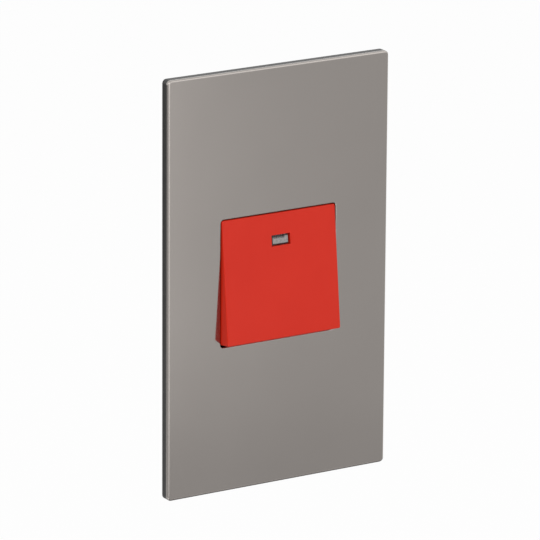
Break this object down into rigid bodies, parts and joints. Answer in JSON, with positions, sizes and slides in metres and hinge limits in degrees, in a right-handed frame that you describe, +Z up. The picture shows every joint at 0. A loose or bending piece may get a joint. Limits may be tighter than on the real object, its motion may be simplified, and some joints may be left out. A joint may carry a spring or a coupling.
{
  "type": "double pole switch",
  "caption": "Tall wall switch with a screwless satin steel plate and a red rocker with a neon window; the rocker tips sprung plungers that rock the contact arms.",
  "frame": {"origin": "middle of the plate on the wall plane, at the centre of the box screws", "axes": "+Y into the wall, +Z up along the tall plate, +X to the right seen from the room"},
  "size_m": [0.086, 0.0336, 0.146],
  "materials": {
    "satin_steel": "satin stainless sheet",
    "black_moulding": "fine matt moulding",
    "red_moulding": "smooth satin moulding",
    "clear_lens": "clear moulding",
    "zinc_steel": "bright zinc plate",
    "pale_moulding": "fine matt moulding",
    "brass": "turned and drilled",
    "copper": "stamped strip",
    "silver": "contact silver",
    "spring_steel": "drawn wire",
    "nylon": "natural moulding",
    "lamp_glass": "clear glass",
    "resistor_body": "lacquered ceramic",
    "tinned_wire": "tinned copper wire"
  },
  "bodies": {
    "fixed_frame": {"front_plate": "satin_steel", "carrier_frame": "black_moulding", "mounting_frame": "zinc_steel", "switch_housing": "black_moulding", "switch_base": "pale_moulding", "pivot_pin": "spring_steel", "terminal_screws": "brass", "module_screws": "zinc_steel", "earth_terminal": "brass", "earth_screw": "brass", "neon_lamp": "lamp_glass", "neon_resistor": "resistor_body", "neon_leads": "tinned_wire", "line_fixed_tip": "silver", "line_feed_bar": "copper", "line_load_bar": "copper", "line_feed_terminal": "brass", "line_load_terminal": "brass", "neutral_fixed_tip": "silver", "neutral_feed_bar": "copper", "neutral_load_bar": "copper", "neutral_feed_terminal": "brass", "neutral_load_terminal": "brass"},
    "rocker_body": {"rocker": "red_moulding", "neon_lens": "clear_lens", "line_spring": "spring_steel", "neutral_spring": "spring_steel"},
    "line_plunger_body": {"line_plunger": "nylon"},
    "neutral_plunger_body": {"neutral_plunger": "nylon"},
    "line_arm_body": {"line_contact_arm": "copper", "line_moving_tip": "silver"},
    "neutral_arm_body": {"neutral_contact_arm": "copper", "neutral_moving_tip": "silver"}
  },
  "joints": [
    {"name": "rocker_hinge", "type": "hinge", "parent": "fixed_frame", "child": "rocker_body", "pos_m": [0, 0.00003, 0], "axis": [1, 0, 0], "range_deg": [0, 11.8]},
    {"name": "line_arm_hinge", "type": "hinge", "parent": "fixed_frame", "child": "line_arm_body", "pos_m": [-0.0095, 0.01543, 0], "axis": [1, 0, 0], "range_deg": [-15, 0]},
    {"name": "neutral_arm_hinge", "type": "hinge", "parent": "fixed_frame", "child": "neutral_arm_body", "pos_m": [0.0095, 0.01543, 0], "axis": [1, 0, 0], "range_deg": [-15, 0]},
    {"name": "line_plunger_slide", "type": "slide", "parent": "rocker_body", "child": "line_plunger_body", "axis": [0, -0.9947, 0.1028], "range_m": [0, 0.0008], "stiffness_N_per_m": 1500, "springref_m": -0.002, "deforming": ["line_spring"]},
    {"name": "neutral_plunger_slide", "type": "slide", "parent": "rocker_body", "child": "neutral_plunger_body", "axis": [0, -0.9947, 0.1028], "range_m": [0, 0.0008], "stiffness_N_per_m": 1500, "springref_m": -0.002, "deforming": ["neutral_spring"]}
  ],
  "couplings": [
    {"joint": "line_arm_hinge", "follows": "rocker_hinge", "ratio": -1.271},
    {"joint": "neutral_arm_hinge", "follows": "rocker_hinge", "ratio": -1.271}
  ]
}
